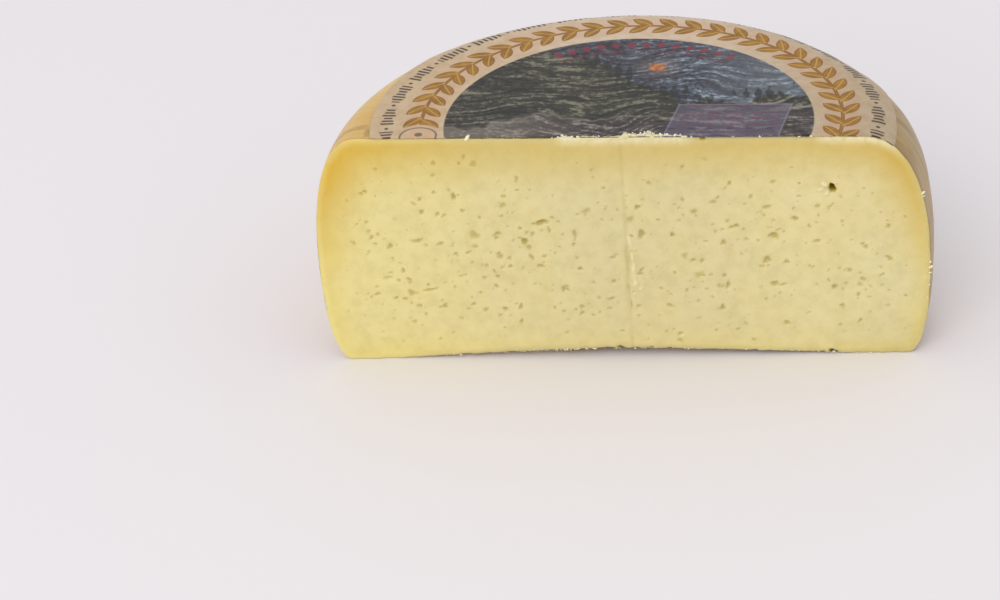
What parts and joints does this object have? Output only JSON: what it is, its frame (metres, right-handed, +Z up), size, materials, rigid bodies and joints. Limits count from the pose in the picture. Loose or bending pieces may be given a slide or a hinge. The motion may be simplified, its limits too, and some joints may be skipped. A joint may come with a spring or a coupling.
{
  "type": "half wheel of goat cheese",
  "caption": "Half of a round cured goat cheese, cut side forward, with small eyes in the pale paste and a half round of printed paper label on top.",
  "frame": {"origin": "under the middle of the half wheel's box, on the surface it stands on", "axes": "+X along the cut to the right as seen from the cut side, -Y out of the cut face, +Z up"},
  "size_m": [0.1416, 0.0752, 0.0595],
  "materials": {
    "cheese": "pale yellow semi-hard paste, satin ochre rind",
    "label": "coated printed paper, half gloss"
  },
  "bodies": {
    "root": {"cheese": "cheese", "label": "label"}
  },
  "joints": []
}
